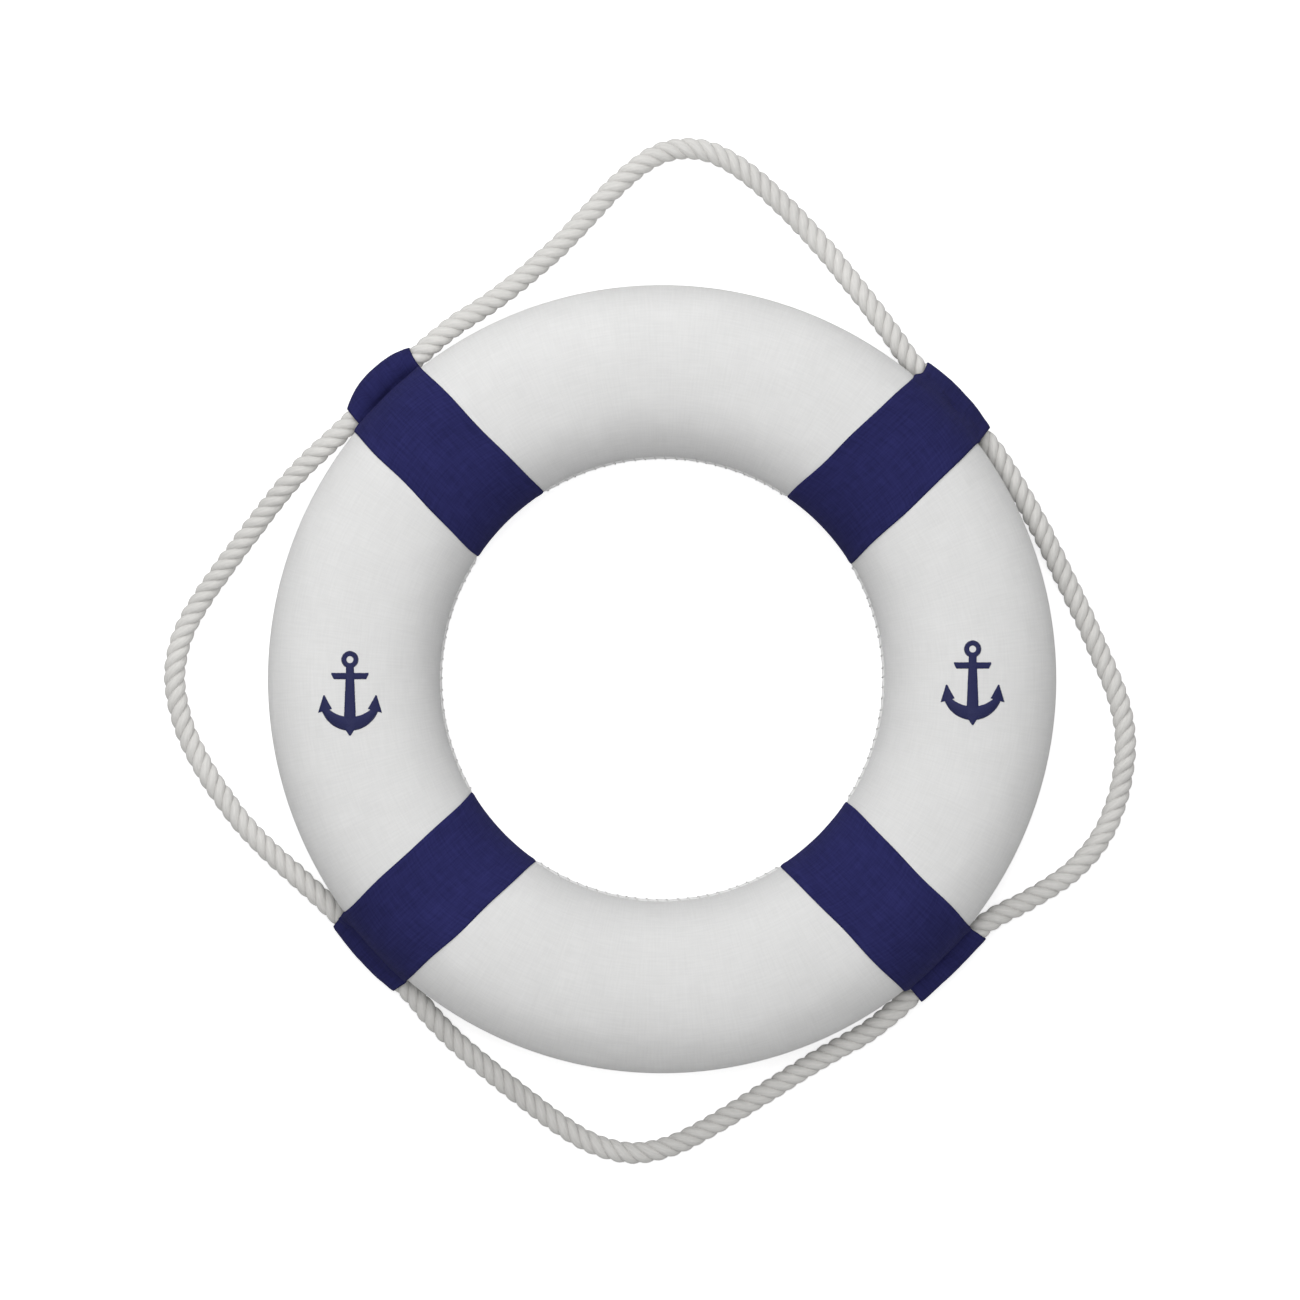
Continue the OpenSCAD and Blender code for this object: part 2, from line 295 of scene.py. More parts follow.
# ---- Materials ---------------------------------------------------------------------------
class Nodes:
    """A material's node tree, with short calls to add and join nodes."""

    def __init__(self, name, colour, roughness, sheen=0.0, specular=0.5):
        self.material = bpy.data.materials.new(name)
        self.material.use_nodes = True
        self.tree = self.material.node_tree
        self.shader = self.tree.nodes["Principled BSDF"]
        self.shader.inputs["Base Color"].default_value = (*colour, 1)
        self.shader.inputs["Roughness"].default_value = roughness
        self.shader.inputs["Sheen Weight"].default_value = sheen
        self.shader.inputs["Sheen Roughness"].default_value = 0.4
        self.shader.inputs["Specular IOR Level"].default_value = specular
        self.colour = colour

    def add(self, kind, **inputs):
        node = self.tree.nodes.new(kind)
        for key, value in inputs.items():
            by_number = key[0] == "i" and key[1:].isdigit()
            target = node.inputs[int(key[1:]) if by_number else key]
            if isinstance(value, bpy.types.NodeSocket):
                self.tree.links.new(value, target)
            else:
                target.default_value = value
        return node

    def math(self, operation, a, b=0.0):
        node = self.add("ShaderNodeMath", i0=a, i1=b)
        node.operation = operation
        return node.outputs[0]

    def ramp(self, value, low, high, from_low=0.0, from_high=1.0):
        node = self.add("ShaderNodeMapRange", i0=value, i1=from_low, i2=from_high, i3=low, i4=high)
        return node.outputs[0]

    def noise(self, vector, scale, detail=2.0, roughness=0.5):
        node = self.add("ShaderNodeTexNoise", Scale=scale, Detail=detail, Roughness=roughness)
        self.tree.links.new(vector, node.inputs["Vector"])
        return node.outputs["Fac"]

    def uv(self):
        node = self.tree.nodes.new("ShaderNodeUVMap")
        node.uv_map = "cloth"
        return node.outputs[0]

    def place(self):
        return self.add("ShaderNodeTexCoord").outputs["Object"]

    def tint(self, amounts):
        """Drives the base colour: the plain colour times each grey amount."""
        total = amounts[0]
        for a in amounts[1:]:
            total = self.math("MULTIPLY", total, a)
        node = self.add("ShaderNodeMix")
        node.data_type = "RGBA"
        node.blend_type = "MULTIPLY"
        node.inputs["Factor"].default_value = 1.0
        grey = self.add("ShaderNodeCombineColor", Red=total, Green=total, Blue=total)
        for socket in node.inputs:
            if socket.type == "RGBA" and socket.identifier == "A_Color":
                socket.default_value = (*self.colour, 1)
            if socket.type == "RGBA" and socket.identifier == "B_Color":
                self.tree.links.new(grey.outputs[0], socket)
        out = next(s for s in node.outputs if s.type == "RGBA")
        self.tree.links.new(out, self.shader.inputs["Base Color"])

    def bump(self, height, distance, strength=1.0):
        node = self.add("ShaderNodeBump", Strength=strength, Distance=distance, Height=height)
        self.tree.links.new(node.outputs[0], self.shader.inputs["Normal"])


def woven(name, colour, pitch, relief, roughness, sheen, specular, mottle, thread_tone_and_shade):
    """Plain-weave cloth: two sets of threads, pitch apart, that pass over each other. mottle
    is how much the colour varies over a hand's width; the last argument sets how much it
    varies from thread to thread, and how dark the painted shade is down between the threads."""
    n = Nodes(name, colour, roughness, sheen, specular)
    split = n.add("ShaderNodeSeparateXYZ", Vector=n.uv())
    wobble = n.ramp(n.noise(n.uv(), 60.0, 2.0), -0.35, 0.35)
    across, up = split.outputs[0], split.outputs[1]
    ridges = []
    for axis in (across, up):
        count = n.math("ADD", n.math("DIVIDE", axis, pitch), wobble)
        ridges.append(n.math("ABSOLUTE", n.math("SINE", n.math("MULTIPLY", count, math.pi))))
    cells = [n.math("FLOOR", n.math("DIVIDE", axis, pitch)) for axis in (across, up)]
    over = n.math("MODULO", n.math("ABSOLUTE", n.math("ADD", *cells)), 2.0)
    under = n.math("SUBTRACT", 1.0, over)
    height = n.math(
        "ADD",
        n.math("MULTIPLY", ridges[0], n.math("ADD", n.math("MULTIPLY", over, 0.7), 0.3)),
        n.math("MULTIPLY", ridges[1], n.math("ADD", n.math("MULTIPLY", under, 0.7), 0.3)),
    )
    slub = n.add("ShaderNodeMapping", Vector=n.uv(), Scale=(900.0, 60.0, 1.0)).outputs[0]
    slub_2 = n.add("ShaderNodeMapping", Vector=n.uv(), Scale=(60.0, 900.0, 1.0)).outputs[0]
    threads = n.math("ADD", n.noise(slub, 1.0, 1.0), n.noise(slub_2, 1.0, 1.0))
    n.tint(
        [
            # painted shade: darker where the weave lies low, down between the threads
            n.ramp(height, 1 - thread_tone_and_shade, 1.0, 0.2, 1.3),
            n.ramp(threads, 1 - thread_tone_and_shade * 0.6, 1 + thread_tone_and_shade * 0.4, 0.7, 1.3),
            n.ramp(n.noise(n.place(), 14.0, 4.0), 1 - mottle, 1 + mottle, 0.3, 0.7),
        ]
    )
    rough = n.ramp(n.noise(n.place(), 180.0, 3.0), roughness - 0.08, min(roughness + 0.08, 1))
    n.tree.links.new(rough, n.shader.inputs["Roughness"])
    n.bump(height, relief)
    return n.material


def laid_rope(name, colour):
    """Cotton: soft fibres drawn out along the strands, with painted shade down in their grooves."""
    n = Nodes(name, colour, 0.9, 0.25, specular=0.2)
    stretched = n.add("ShaderNodeMapping", Vector=n.uv(), Scale=(2600.0, 350.0, 1.0)).outputs[0]
    fibres = n.noise(stretched, 1.0, 3.0, 0.6)
    groove_shade = n.add("ShaderNodeAttribute")
    groove_shade.attribute_name = "groove"
    n.tint(
        [
            n.ramp(fibres, 0.90, 1.06, 0.3, 0.7),
            # painted shade: darker the deeper a point lies in a groove between the strands or yarns
            n.ramp(groove_shade.outputs["Fac"], 1.0, 0.76),
            n.ramp(n.noise(n.place(), 22.0, 3.0), 0.94, 1.05, 0.3, 0.7),
        ]
    )
    n.bump(fibres, 0.12 * MM)
    return n.material


def thread(name, colour, roughness=0.6, sheen=0.2):
    """Sewing thread: fine marks of its twist, and a little sheen."""
    n = Nodes(name, colour, roughness, sheen, specular=0.2)
    marks = n.noise(n.place(), 2200.0, 2.0)
    n.tint([n.ramp(marks, 0.86, 1.08, 0.3, 0.7), n.ramp(n.noise(n.place(), 90.0), 0.94, 1.04)])
    n.bump(marks, 0.05 * MM)
    return n.material


def foam(name, colour):
    """Expanded foam: a skin of packed beads."""
    n = Nodes(name, colour, 0.7, 0.0, specular=0.4)
    beads = n.add("ShaderNodeTexVoronoi", Vector=n.place(), Scale=260.0)
    n.tint([n.ramp(beads.outputs["Distance"], 1.0, 0.9)])
    n.bump(beads.outputs["Distance"], 0.3 * MM)
    return n.material


def dress(obj, material):
    obj.data.materials.clear()
    obj.data.materials.append(material)


WHITE_CLOTH = woven(
    "cover_canvas",
    (0.80, 0.80, 0.795),
    pitch=0.5 * MM,
    relief=0.10 * MM,
    roughness=0.85,
    sheen=0.10,
    specular=0.25,
    mottle=0.02,
    thread_tone_and_shade=0.05,
)
NAVY_CLOTH = woven(
    "band_canvas",
    (0.028, 0.029, 0.128),
    pitch=0.55 * MM,
    relief=0.14 * MM,
    roughness=0.90,
    sheen=0.0,
    specular=0.06,
    mottle=0.10,
    thread_tone_and_shade=0.30,
)
ROPE_COTTON = laid_rope("rope_cotton", (0.692, 0.683, 0.662))
SEAM_THREAD = thread("seam_thread", (0.66, 0.66, 0.65))
NAVY_THREAD = thread("navy_thread", (0.018, 0.020, 0.075))
EMBROIDERY = thread("embroidery_thread", (0.022, 0.025, 0.095), roughness=0.5, sheen=0.08)
TWINE = thread("whipping_twine", (0.60, 0.57, 0.50))
FOAM = foam("foam_beads", (0.86, 0.86, 0.85))


# ---- Rope ------------------------------------------------------------------------------------
def rope_thickness(line, at):
    """How thick the rope is along its line, as a share of its plain thickness. It is squeezed
    by the whipping at its ends, and swells between the sleeves."""
    squeeze, swelling = 0.14, 0.055
    # full within 8 mm of an end, and none from 20 mm on
    from_end = np.minimum(at - at[0], at[-1] - at)
    whipped = np.clip((20 * MM - from_end) / (12 * MM), 0, 1)
    # none within 22 mm of a sleeve's middle, and full from 30 mm on
    from_sleeve = np.min(
        [np.linalg.norm(line - sleeve_middle(place), axis=1) for place in PLACES], axis=0
    )
    free = np.clip((from_sleeve - 22 * MM) / (8 * MM), 0, 1)
    return 1 - squeeze * whipped + swelling * free


def lay_strand(number, line, at, thickness, rng):
    """One strand's points, faces and UVs, and how deep each point lies in a groove, for painted
    shade.
    """
    ahead = unit(np.gradient(line, axis=0))
    side = unit(np.cross(ahead, np.array([0.0, 0.0, 1.0])))
    down = np.cross(ahead, side)
    wander = sum(waves(40 + number, at, (61 * MM, 37 * MM, 143 * MM), (0.035, 0.03, 0.04)))
    turn = 2 * math.pi * (at / LAY + number / 3) + wander
    out = np.cos(turn)[:, None] * side + np.sin(turn)[:, None] * down
    around = -np.sin(turn)[:, None] * side + np.cos(turn)[:, None] * down
    slope = math.atan(2 * math.pi * STRAND_OFFSET / LAY)
    across = math.cos(slope) * around - math.sin(slope) * ahead

    swell = 1 + sum(waves(60 + number, at, (29 * MM, 83 * MM), (0.012, 0.015)))
    k = np.arange(STRAND_SIDES)
    between_yarns = k % 2
    ridge = np.where(between_yarns, 0.952, 1.0) * (1 + 0.01 * rng.standard_normal(STRAND_SIDES))
    angle = 2 * math.pi * k[None] / STRAND_SIDES + (YARN_TURN * at)[:, None]
    r = (STRAND_R * thickness * swell)[:, None] * ridge[None]
    ring = np.cos(angle)[..., None] * out[:, None] + np.sin(angle)[..., None] * across[:, None]
    middle = line + (STRAND_OFFSET * thickness)[:, None] * out
    points = middle[:, None] + r[..., None] * ring

    # the two end caps come last, in the faces and in the UVs
    faces = [tuple(f) for f in grid_faces(len(line), STRAND_SIDES, wrap=True)]
    faces += [tuple(k[::-1]), tuple((len(line) - 1) * STRAND_SIDES + k)]
    girth = 2 * math.pi * STRAND_R
    u = k / STRAND_SIDES * 2 * math.pi * STRAND_R
    uvs = np.concatenate([grid_uvs(u, at, wrap_u=girth), np.zeros((2 * STRAND_SIDES, 2))])

    # how deep each point lies in a groove, for the painted shade; the dips between yarns get a
    # little too
    groove_top, groove_depth = ROPE_D / 2 - 0.2 * MM, 1.9 * MM
    away = np.linalg.norm(points - line[:, None], axis=2)
    deep = np.clip((groove_top - away) / groove_depth, 0, 1)
    deep = np.maximum(deep, 0.25 * between_yarns[None])
    return points.reshape(-1, 3), faces, uvs, deep.ravel()


def build_rope():
    """Three strands laid right-handed; each strand's yarns are twisted the other way."""
    line, at = rope_route()
    line[:, 2] = np.maximum(line[:, 2], ROPE_D / 2 + FLOOR_GAP)
    thickness = rope_thickness(line, at)
    rng = np.random.default_rng(4)
    points, faces, uvs, depths = [], [], [], []
    for number in range(3):
        strand, strand_faces, strand_uvs, deep = lay_strand(number, line, at, thickness, rng)
        first = number * len(strand)
        points.append(strand)
        faces += [tuple(i + first for i in face) for face in strand_faces]
        uvs.append(strand_uvs)
        depths.append(deep)
    rope = mesh_object("rope_laid", np.concatenate(points), faces, np.concatenate(uvs))
    # the groove depths, which the cotton turns into painted shade
    groove = rope.data.attributes.new("groove", "FLOAT", "POINT")
    groove.data.foreach_set("value", np.concatenate(depths).astype(np.float32))
    dress(rope, ROPE_COTTON)
    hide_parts("grab_line")
    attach(rope, "root")


# ---- Cover -----------------------------------------------------------------------------------
def settle_cloth(obj, cut, held, start):
    """Runs the cloth for a few frames under a light pressure from the foam, held at some
    points, and keeps the shape that it takes. cut is the larger shape it was sewn from."""
    frames, furthest = 20, 2 * MM
    obj.shape_key_add(name="start")
    obj.shape_key_add(name="cut").data.foreach_set("co", cut.astype(np.float32).ravel())
    obj.vertex_groups.new(name="held").add([int(i) for i in np.flatnonzero(held)], 1.0, "REPLACE")
    cloth = obj.modifiers.new("settle", "CLOTH")
    settings = cloth.settings
    settings.quality = 5
    settings.mass = 0.2
    settings.tension_stiffness = settings.compression_stiffness = 25
    settings.shear_stiffness = 10
    settings.bending_stiffness = 0.2
    settings.tension_damping = settings.compression_damping = settings.shear_damping = 10
    settings.air_damping = 2
    settings.vertex_group_mass = "held"
    settings.rest_shape_key = obj.data.shape_keys.key_blocks["cut"]
    settings.use_pressure = True
    settings.uniform_pressure_force = 4
    settings.effector_weights.gravity = 0
    cloth.collision_settings.use_collision = False
    cloth.point_cache.frame_start, cloth.point_cache.frame_end = 1, frames
    for frame_number in range(1, frames + 1):
        bpy.context.scene.frame_set(frame_number)
    settled = obj.evaluated_get(bpy.context.evaluated_depsgraph_get())
    points = np.empty(start.size, np.float32)
    settled.data.vertices.foreach_get("co", points)
    obj.modifiers.remove(cloth)
    obj.shape_key_clear()
    bpy.context.scene.frame_set(1)
    move = points.reshape(-1, 3) - start
    far = np.linalg.norm(move, axis=1, keepdims=True)
    kept = start + move * np.minimum(1, furthest / np.maximum(far, 1e-9))
    obj.data.vertices.foreach_set("co", kept.ravel())
    obj.data.update()


def build_panel(name, start, stop, seed):
    """A quarter of the cover, with puckers where its edge is gathered into the seam."""
    gap = 0.1  # degrees left free under each band, beside the next panel
    angle = np.radians(np.linspace(start + gap, stop - gap, PANEL_ROWS))
    share = np.linspace(0, 1, PANEL_COLUMNS)
    share = share - 0.035 * np.sin(4 * math.pi * share) / 2  # closer together near the seam
    x, turn = section(share)
    from_seam = np.minimum(share, 1 - share) * PERIMETER
    lengths = np.array([5.5, 7.3, 9.1, 12.5, 17.0, 31.0]) * MM
    heights = np.array([0.22, 0.26, 0.24, 0.22, 0.18, 0.14]) * MM
    lift = np.zeros((PANEL_ROWS, PANEL_COLUMNS))
    for half in (0, 1):
        parts = waves(seed + half, angle * INNER_R, lengths, heights)
        for wave, w in zip(parts, lengths, strict=True):
            # a pucker rises within 2 mm of the seam, and fades over about its own length
            fade = np.exp(-from_seam / (1.1 * w)) * np.minimum(from_seam / (2 * MM), 1)
            mask = (share < 0.5) if half == 0 else (share >= 0.5)
            lift += np.abs(wave)[:, None] * (fade * mask)[None]

    def shape(fullness):
        r = CAP_R + fullness * lift
        points = on_ring(angle[:, None], x[None] + r * np.cos(turn), r * np.sin(turn)[None])
        return points.reshape(-1, 3)

    # settled is about the fullness at which the simulation leaves the puckers
    settled, sewn, cut = 0.9, 0.4, 1.5
    first = shape(sewn)
    flat_uvs = grid_uvs(share * PERIMETER, angle * CENTRE_R)
    panel = mesh_object(
        name + "_cloth", first, grid_faces(PANEL_ROWS, PANEL_COLUMNS), flat_uvs
    )
    # the seam holds the panel's long edges, and the bands hold its ends
    held = np.zeros((PANEL_ROWS, PANEL_COLUMNS), bool)
    held[:6] = held[-6:] = held[:, :1] = held[:, -1:] = True
    settle_cloth(panel, shape(cut), held.ravel(), first)
    smooth = panel.modifiers.new("finer", "SUBSURF")
    smooth.levels = smooth.render_levels = 1
    solidify(panel, COVER_T)
    dress(panel, WHITE_CLOTH)
    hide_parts(name)
    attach(panel, "root")
    return panel


def seam_bead(name, angle, spots, drift):
    """The rolled edge where a panel's two sides meet. It is pulled in at each stitch, and
    sinks into the cover at its two ends, where it goes under a band."""
    near = np.abs(angle[:, None] - spots[None]).min(axis=1) * INNER_R
    bite = np.exp(-((near / (0.8 * MM)) ** 2))
    ripple = 0.12 * MM * np.sin(angle * INNER_R / (1.3 * MM))
    to_end = np.minimum(angle - angle[0], angle[-1] - angle) * INNER_R
    sink = 2 * MM * np.clip(1.2 - to_end / (5 * MM), 0, 1) ** 2
    line = on_ring(angle, SEAM_X + sink, drift)
    points, faces = tube(line, BEAD_R * (1.0 - 0.24 * bite) + ripple, BEAD_SIDES)
    girth = 9.4 * MM
    uvs = []
    for face in faces:
        uvs += [
            (k % BEAD_SIDES / BEAD_SIDES * girth, angle[k // BEAD_SIDES] * INNER_R)
            for k in face
        ]
    bead = mesh_object(name, points, faces, uvs)
    dress(bead, WHITE_CLOTH)
    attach(bead, "root")


def build_seam(name, start, stop, seed):
    """The bead along a panel's inner edge, and the thread whipped round it."""
    half_band = math.degrees(math.asin(BAND_W / 2 / (INNER_R - BAND_T)))
    under = 1  # degrees of the bead that lie under each band
    low, high = math.radians(start + half_band - under), math.radians(stop - half_band + under)
    bare = 2.5 * MM / INNER_R  # without stitches, at each end
    hoops = round(((high - low) - 2 * bare) * INNER_R / STITCH_PITCH)
    rng = np.random.default_rng(seed)
    spots = (np.arange(hoops) + 0.5 + rng.uniform(-0.13, 0.13, hoops)) / hoops
    spots = low + bare + spots * (high - low - 2 * bare)
    angle = np.linspace(low, high, BEAD_ROWS)
    drift = sum(waves(seed + 1, angle * INNER_R, (9 * MM, 23 * MM), (0.10 * MM, 0.16 * MM)))
    seam_bead(name.replace("cover_panel", "seam_bead"), angle, spots, drift)

    lines = []
    reach = 0.62  # half turns that a stitch goes round the bead, each way
    sweep = np.linspace(-reach, reach, 15) * math.pi
    for spot in spots:
        tilt = 0.36 + rng.uniform(-0.14, 0.14)
        hoop_r = BEAD_R * 0.80 + STITCH_R + rng.uniform(-0.05, 0.1) * MM
        height = np.interp(spot, angle, drift)
        lean = np.sin(sweep / (2 * reach)) * tilt * 2.6 * MM / INNER_R
        x = SEAM_X - hoop_r * np.cos(sweep)
        lines.append(on_ring(spot + lean, x, height + hoop_r * 1.15 * np.sin(sweep)))
    stitches = join_tubes(name.replace("cover_panel", "seam_stitches"), lines, STITCH_R, 8)
    dress(stitches, SEAM_THREAD)
    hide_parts(name.replace("cover_panel", "seam_thread"))
    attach(stitches, "root")


# ---- Bands -----------------------------------------------------------------------------------
def turned(u, v, angle):
    """The vectors (u, v) turned anticlockwise by an angle in radians."""
    c, s = math.cos(angle), math.sin(angle)
    return u * c - v * s, u * s + v * c


def band_outline(lean, bridged, dent):
    """A band's outside, cut across its width: round the ring from the back of the pinch to
    the front, then over the rope. u is from the middle of the section's outer round end
    towards the sleeve, which leans that far to the back, and v is square to it and towards
    the front. When bridged, the front cloth spans the groove instead of going down to the
    pinch, with a dent beside the rope."""
    x, turn = section((np.linspace(0.5, 1.5, WRAP_ROWS) + lean * CAP_R / PERIMETER) % 1.0)
    u, v = turned(x - HALF_FLAT + BAND_R * np.cos(turn), BAND_R * np.sin(turn), lean)
    front = np.arange(WRAP_ROWS) > WRAP_ROWS * 0.75
    half_pinch = 1 * MM  # of the two layers that are sewn together
    in_pinch = (np.abs(v) < half_pinch) & (u > 0)
    v = np.where(in_pinch, np.where(front, half_pinch, -half_pinch), v)
    closed = 0.93 * math.pi  # where the sleeve's round shape comes to the pinch
    around = np.linspace(closed, -closed, SLEEVE_ROWS)
    tube_u = REACH + SLEEVE_R * np.cos(around)
    tube_v = SLEEVE_R * np.sin(around)
    if bridged:
        # the straight span that touches both the ring's side and the top of the rope
        touch = math.acos((BAND_R - SLEEVE_R) / REACH)
        square = np.array([math.cos(touch), math.sin(touch)])
        span_from, span_to = BAND_R * square, SLEEVE_R * square + [REACH, 0]
        past = front & (u > 0) & (np.arctan2(v, u) < touch)
        early = around > touch
        steps = np.linspace(0, 1, past.sum() + early.sum())[:, None]
        straight = span_from + steps * (span_to - span_from)
        sag, dent_at, dent_w = 0.4 * MM, 0.72, 0.13
        hollow = sag * np.sin(math.pi * steps) ** 2
        hollow += dent * np.exp(-(((steps - dent_at) / dent_w) ** 2))
        straight -= hollow * square
        u[past], v[past] = straight[: past.sum()].T
        tube_u[early], tube_v[early] = straight[past.sum() :].T
    return np.concatenate([u, tube_u]), np.concatenate([v, tube_v])


class BandRows:
    """Where each row of a band lies along the strip, which starts behind the pinch, goes round
    the ring to the front of the pinch, and then over the rope. All are lengths of cloth."""

    def __init__(self, u, v):
        step = np.hypot(np.diff(u, append=u[0]), np.diff(v, append=v[0]))
        at = np.concatenate([[0], np.cumsum(step[:-1])])
        total, first = at[-1], at[WRAP_ROWS]
        self.at, self.total = at, total
        self.on_sleeve = np.arange(len(u)) >= WRAP_ROWS
        self.sleeve_middle = (first + total) / 2
        self.from_pinch = np.where(
            self.on_sleeve, np.minimum(at - first, total - at), np.minimum(at, first - at)
        )
        from_middle = np.abs(at - self.sleeve_middle)
        self.from_sleeve_middle = np.minimum(from_middle, total - from_middle)


def eased(at, stops, values):
    """Values at some stops, with smooth steps between them."""
    out = np.full_like(at, values[0])
    for a, b, low, high in zip(stops, stops[1:], values, values[1:], strict=False):
        share = np.clip((at - a) / (b - a), 0, 1)
        out += (high - low) * share**2 * (3 - 2 * share)
    return out


def places_across(rows, across, edges, seed):
    """How far each point lies from the strip's middle line. The stitching gathers the strip,
    and the rope pulls it a little to one side."""
    stops = (3 * MM, 20 * MM, 40 * MM)
    low = eased(rows.from_sleeve_middle, stops, (edges[0] * MM, edges[2] * MM, -BAND_W / 2))
    high = eased(rows.from_sleeve_middle, stops, (edges[1] * MM, edges[3] * MM, BAND_W / 2))
    calm = np.clip(np.minimum(rows.at, rows.total - rows.at) / (30 * MM), 0, 1)
    heights = (0.20 * MM, 0.30 * MM)
    # away from the sleeve the two edges are cut and sewn a little unevenly
    low += calm * sum(waves(seed + 9, rows.at, (47 * MM, 83 * MM), heights))
    high += calm * sum(waves(seed + 11, rows.at, (41 * MM, 71 * MM), heights))
    return low[:, None] + (high - low)[:, None] * (across[None] + 1) / 2


def band_relief(rows, across, t, fullness, seed):
    """How far the cloth stands out from its smooth shape."""
    from_pinch, on_sleeve = rows.from_pinch[:, None], rows.on_sleeve[:, None]
    relief = np.zeros_like(t)
    # puckers beside the pinch, and slanting folds that reach further
    lengths = np.array([6.0, 8.5, 11.5, 17.0]) * MM
    heights = np.array([0.16, 0.20, 0.20, 0.16]) * MM
    for wave, w in zip(waves(seed, t, lengths, heights), lengths, strict=True):
        relief += np.abs(wave) * np.exp(-from_pinch / (0.9 * w))
    spread = np.where(on_sleeve, 0.6, 0.35) * (0.3 + np.exp(-from_pinch / (30 * MM)))
    for wave in waves(seed + 5, t + 0.4 * rows.at[:, None], lengths * 2.6, heights * 0.5):
        relief += wave * spread
    # over the rope the cloth is loose, and its middle stands out furthest
    crest = np.clip(np.cos((rows.at - rows.sleeve_middle) / SLEEVE_R / 1.5), 0, 1)
    relief += fullness * (crest * rows.on_sleeve)[:, None] * (1 - np.abs(across) ** 2.2)[None]
    # hemmed edges: a low ridge beside an edge that rolls down onto the cover
    edge = (1 - np.abs(across)) * BAND_W / 2
    roll = 1 - np.clip(edge / (1.1 * MM), 0, 1)
    relief -= 0.45 * MM * (roll**2)[None] * np.where(on_sleeve, 0.3, 1.0)
    hem = np.exp(-(((edge - 2.6 * MM) / (1.4 * MM)) ** 2))
    relief += 0.14 * MM * hem[None]
    deepest = np.where(on_sleeve, -0.2 * MM, -0.5 * MM)
    return np.maximum(relief, deepest)


def band_points(place, rows, u, v, t):
    """A band's points in the ring's place, from (u, v) and the distance t across the strip.
    Its sides are parallel: round the ring each point keeps its distance from the ring's axis."""
    x, z = turned(u, v, -math.radians(place[1]))
    x = CAP_X + x
    near = np.clip(1 - rows.from_pinch / (18 * MM), 0, 1)  # to the sleeve, which is straight
    straight = np.where(rows.on_sleeve, 1.0, near**2 * (3 - 2 * near))[:, None]
    x = straight * x + (1 - straight) * np.sqrt(np.maximum(x**2 - t**2, 1e-9))
    z = np.maximum(z, -MID_Z + 0.02 * MM)  # above the floor
    n, tau, up = outward(place[0]), along(place[0]), np.array([0, 0, 1.0])
    return x[..., None] * n + t[..., None] * tau + up * (MID_Z + z)[..., None]


def loop_faces(rows, columns):
    """The quads of a grid of points whose last row joins its first."""
    r = np.arange(rows)[:, None]
    c = np.arange(columns - 1)[None]
    here, there = r * columns + c, (r + 1) % rows * columns + c
    quads = (here, there, there + 1, here + 1)
    return np.stack(np.broadcast_arrays(*quads), -1).reshape(-1, 4)


def build_band(name, place, seed, bridge, dent, fullness, edges):
    """One strip of cloth round the ring and over the rope, sewn between the two. bridge is
    how far the front cloth spans the groove, in the middle of the strip and at its edges.
    edges are the strip's two edges in millimetres, at the rope and then at the pinch."""
    lean = math.radians(place[1])
    across = np.linspace(-1, 1, BAND_COLUMNS)
    open_u, open_v = band_outline(lean, False, 0)
    full_u, full_v = band_outline(lean, True, dent)
    slack = sum(waves(seed + 7, across * BAND_W / 2, (19 * MM, 31 * MM), (0.05, 0.06)))
    share = np.clip(bridge[0] + (bridge[1] - bridge[0]) * across**2 + slack, 0, 1)[None]
    u = open_u[:, None] + share * (full_u - open_u)[:, None]
    v = open_v[:, None] + share * (full_v - open_v)[:, None]

    rows = BandRows(open_u, open_v)
    t = places_across(rows, across, edges, seed)
    relief = band_relief(rows, across, t, fullness, seed)
    slope_u, slope_v = np.gradient(u, axis=0), np.gradient(v, axis=0)
    size = np.hypot(slope_u, slope_v)
    points = band_points(place, rows, u - slope_v / size * relief, v + slope_u / size * relief, t)

    # the weave follows the cloth: each thread's place is its length along its own column
    run = np.linalg.norm(points - np.roll(points, -1, axis=0), axis=2)
    run = np.concatenate([np.zeros((1, BAND_COLUMNS)), np.cumsum(run, axis=0)])
    uvs = np.zeros((len(points), BAND_COLUMNS - 1, 4, 2))
    for corner, (row, col) in enumerate(((0, 0), (1, 0), (1, 1), (0, 1))):
        columns = slice(col, BAND_COLUMNS - 1 + col)
        uvs[:, :, corner, 0] = (across * BAND_W / 2)[None, columns]
        uvs[:, :, corner, 1] = run[row : len(points) + row, columns]
    quads = loop_faces(len(points), BAND_COLUMNS)
    band = mesh_object(name + "_cloth", points.reshape(-1, 3), quads, uvs.reshape(-1, 2))
    solidify(band, BAND_T * 0.9)
    dress(band, NAVY_CLOTH)
    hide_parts(name)
    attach(band, "root")


# ---- Anchors ---------------------------------------------------------------------------------
def ribbon(points_a, points_b, pitch):
    """The two ends of each stitch between two edges that run side by side."""
    a, b = np.asarray(points_a, float), np.asarray(points_b, float)
    middle = (a + b) / 2
    at = np.concatenate([[0], np.cumsum(np.linalg.norm(np.diff(middle, axis=0), axis=1))])
    spots = np.arange(pitch / 2, at[-1], pitch)
    ends = [np.stack([np.interp(spots, at, p[:, k]) for k in (0, 1)], -1) for p in (a, b)]
    return list(zip(*ends, strict=True))


def arc(centre, radius, start, stop):
    turn = np.radians(np.linspace(start, stop, 60))
    return np.stack([centre[0] + radius * np.cos(turn), centre[1] + radius * np.sin(turn)], -1)


